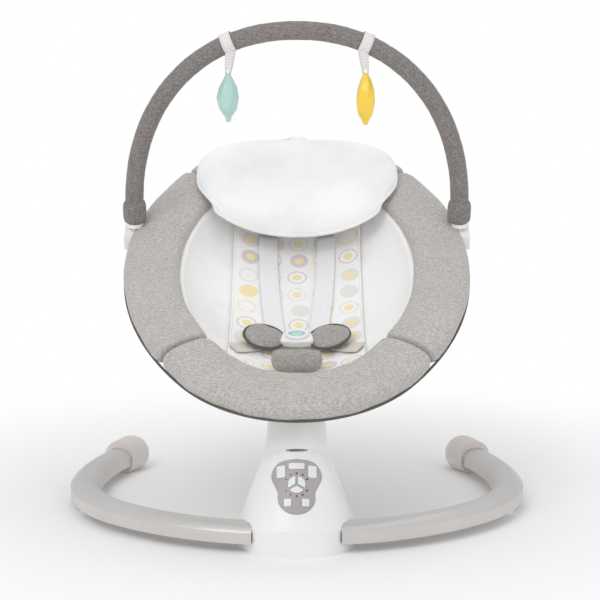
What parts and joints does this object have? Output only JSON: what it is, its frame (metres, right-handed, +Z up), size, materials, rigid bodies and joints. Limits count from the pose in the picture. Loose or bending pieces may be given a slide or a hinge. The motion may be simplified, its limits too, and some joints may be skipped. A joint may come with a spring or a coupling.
{
  "type": "baby swing",
  "caption": "Electric baby swing with an oval reclined padded seat on a leaning front post, a C-shaped floor tube, a padded toy bar with hanging toys and a front control panel.",
  "frame": {"origin": "middle of the overall box's underside, on the floor", "axes": "+Z up, -Y to the front (the housing and the foot of the seat), +X to the viewer's right"},
  "size_m": [0.586, 0.5542, 0.6162],
  "materials": {
    "white_plastic": "satin moulded",
    "cap_plastic": "satin moulded",
    "grey_plastic": "satin moulded",
    "button_white": "fine matt",
    "lens_dark": "clear gloss",
    "silver_tube": "silver powder coat",
    "steel": "bright",
    "dark_plastic": "matt",
    "board": "solder mask",
    "copper": "wound wire",
    "cell": "printed sleeve, bare",
    "grey_melange": "woven melange",
    "dark_melange": "woven melange",
    "white_fabric": "fine knit",
    "printed_fabric": null,
    "webbing": "woven tape",
    "mint": "soft gloss",
    "yellow": "soft gloss"
  },
  "bodies": {
    "base": {"housing_front": "white_plastic", "housing_rear": "white_plastic", "base_plate": "grey_plastic", "base_screws": "steel", "bearing_frame": "dark_plastic", "lower_bearing": "steel", "upper_bearing": "steel", "drive_coil": "copper", "control_board": "board", "battery_box": "dark_plastic", "battery_cells": "cell", "speaker": "dark_plastic", "power_inlet": "dark_plastic", "control_panel": "grey_plastic", "led_lenses": "lens_dark", "left_tube": "silver_tube", "right_tube": "silver_tube", "left_rear_cap": "cap_plastic", "right_rear_cap": "cap_plastic", "front_feet": "white_plastic"},
    "neck": {"neck_front": "white_plastic", "neck_rear": "white_plastic", "pivot_shaft": "steel", "drive_magnet": "dark_plastic", "swing_arm": "steel", "recline_axle": "steel"},
    "seat": {"seat_bracket": "grey_plastic", "cradle_tube": "silver_tube", "front_hoop": "silver_tube", "rear_hoop": "silver_tube", "left_hub": "white_plastic", "right_hub": "white_plastic", "rim_foot": "grey_melange", "rim_left": "grey_melange", "rim_right": "grey_melange", "rim_head": "grey_melange", "seat_bucket": "white_fabric", "seat_liner": "printed_fabric", "head_pillow": "white_fabric", "pillow_strap": "webbing", "shoulder_straps": "webbing", "waist_straps": "webbing", "buckle": "white_plastic", "crotch_pad": "grey_melange"},
    "toy_bar": {"bar_tube": "silver_tube", "bar_cover": "dark_melange", "bar_knobs": "dark_melange", "bar_clips": "white_plastic"},
    "left_toy": {"left_toy": "mint"},
    "right_toy": {"right_toy": "yellow"},
    "battery_door": {"battery_door": "white_plastic"},
    "buckle_button": {"buckle_button": "mint"},
    "button_power": {"button_power": "button_white"},
    "button_music": {"button_music": "button_white"},
    "button_timer": {"button_timer": "button_white"},
    "button_left": {"button_left": "button_white"},
    "button_right": {"button_right": "button_white"},
    "button_down": {"button_down": "button_white"},
    "button_minus": {"button_minus": "button_white"},
    "button_plus": {"button_plus": "button_white"}
  },
  "joints": [
    {"name": "swing", "type": "hinge", "parent": "base", "child": "neck", "pos_m": [0, -0.209, 0], "axis": [0, 0.2419, 0.9703], "range_deg": [-15, 15]},
    {"name": "recline", "type": "hinge", "parent": "neck", "child": "seat", "pos_m": [0, -0.103, 0.158], "axis": [1, 0, 0], "range_deg": [-10, 0]},
    {"name": "toy_bar_lift", "type": "slide", "parent": "seat", "child": "toy_bar", "axis": [0, -0.2079, 0.9781], "range_m": [0, 0.05]},
    {"name": "left_toy_swing", "type": "hinge", "parent": "toy_bar", "child": "left_toy", "pos_m": [-0.088, 0.01969, 0.58813], "axis": [0.9233, -0.0798, 0.3756], "range_deg": [-30, 30]},
    {"name": "right_toy_swing", "type": "hinge", "parent": "toy_bar", "child": "right_toy", "pos_m": [0.088, 0.01969, 0.58813], "axis": [-0.9233, -0.0798, 0.3756], "range_deg": [-30, 30]},
    {"name": "battery_door_slide", "type": "slide", "parent": "base", "child": "battery_door", "axis": [0, 1, 0], "range_m": [0, 0.05]},
    {"name": "buckle_press", "type": "slide", "parent": "seat", "child": "buckle_button", "axis": [0, 0.2756, -0.9613], "range_m": [0, 0.0015], "stiffness_N_per_m": 500},
    {"name": "press_power", "type": "slide", "parent": "base", "child": "button_power", "axis": [0, 0.8161, -0.5779], "range_m": [0, 0.001], "stiffness_N_per_m": 500},
    {"name": "press_music", "type": "slide", "parent": "base", "child": "button_music", "axis": [0, 0.8161, -0.5779], "range_m": [0, 0.001], "stiffness_N_per_m": 500},
    {"name": "press_timer", "type": "slide", "parent": "base", "child": "button_timer", "axis": [0, 0.8161, -0.5779], "range_m": [0, 0.001], "stiffness_N_per_m": 500},
    {"name": "press_left", "type": "slide", "parent": "base", "child": "button_left", "axis": [0, 0.8161, -0.5779], "range_m": [0, 0.001], "stiffness_N_per_m": 500},
    {"name": "press_right", "type": "slide", "parent": "base", "child": "button_right", "axis": [0, 0.8161, -0.5779], "range_m": [0, 0.001], "stiffness_N_per_m": 500},
    {"name": "press_down", "type": "slide", "parent": "base", "child": "button_down", "axis": [0, 0.8161, -0.5779], "range_m": [0, 0.001], "stiffness_N_per_m": 500},
    {"name": "press_minus", "type": "slide", "parent": "base", "child": "button_minus", "axis": [0, 0.8161, -0.5779], "range_m": [0, 0.001], "stiffness_N_per_m": 500},
    {"name": "press_plus", "type": "slide", "parent": "base", "child": "button_plus", "axis": [0, 0.8161, -0.5779], "range_m": [0, 0.001], "stiffness_N_per_m": 500}
  ]
}
